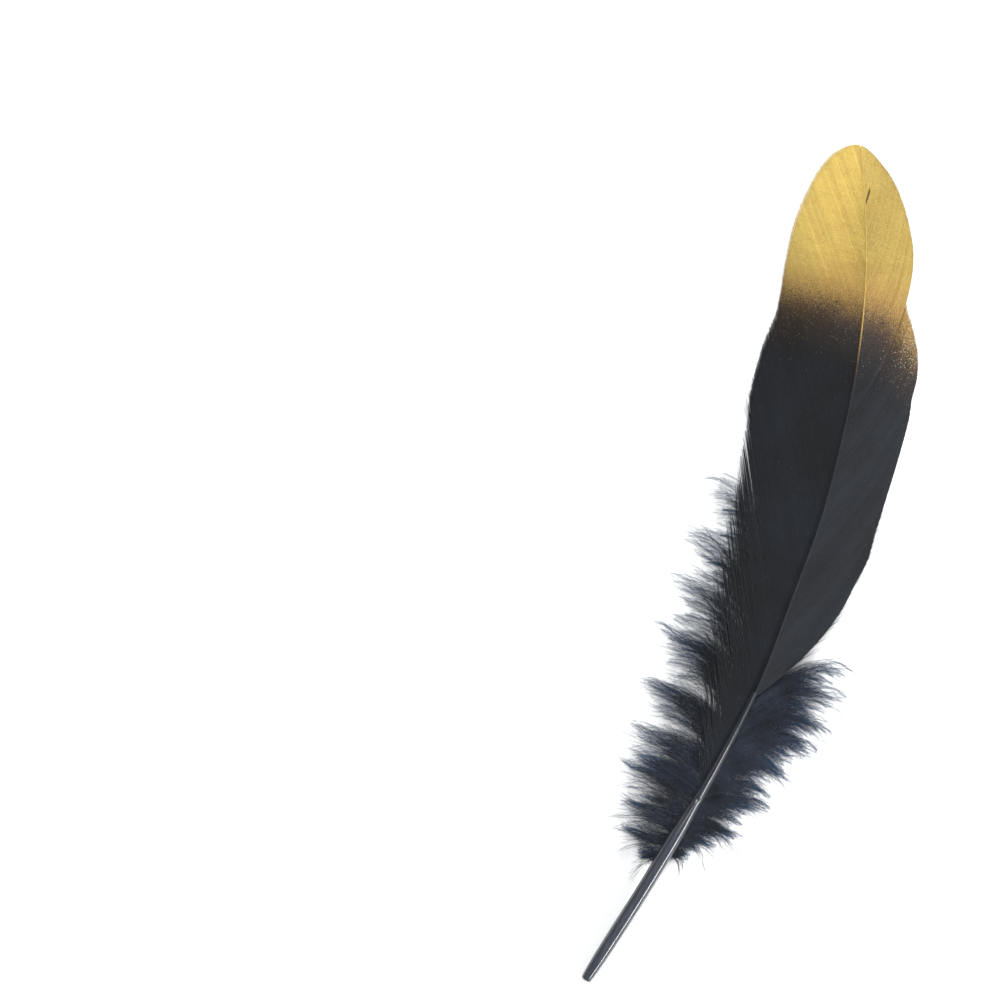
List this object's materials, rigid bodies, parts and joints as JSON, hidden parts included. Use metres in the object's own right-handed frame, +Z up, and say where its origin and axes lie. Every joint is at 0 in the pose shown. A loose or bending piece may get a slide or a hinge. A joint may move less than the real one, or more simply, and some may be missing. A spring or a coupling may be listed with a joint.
{
  "type": "goose quill feather",
  "caption": "Goose quill feather, dyed black with a gold-painted tip, lying with its rounded back up; bare quill, bowed shaft, two vanes and loose down at their foot.",
  "frame": {"origin": "on the surface that the feather lies on, under the middle of its box", "axes": "+Z up, out of the rounded back of the vanes; +Y from the quill's end towards the vane's tip, the longest way; +X to the right seen from above"},
  "size_m": [0.0432, 0.1802, 0.0078],
  "materials": {
    "barbs": "satin",
    "quill": "gloss"
  },
  "bodies": {
    "root": {"feather": "barbs"}
  },
  "joints": []
}
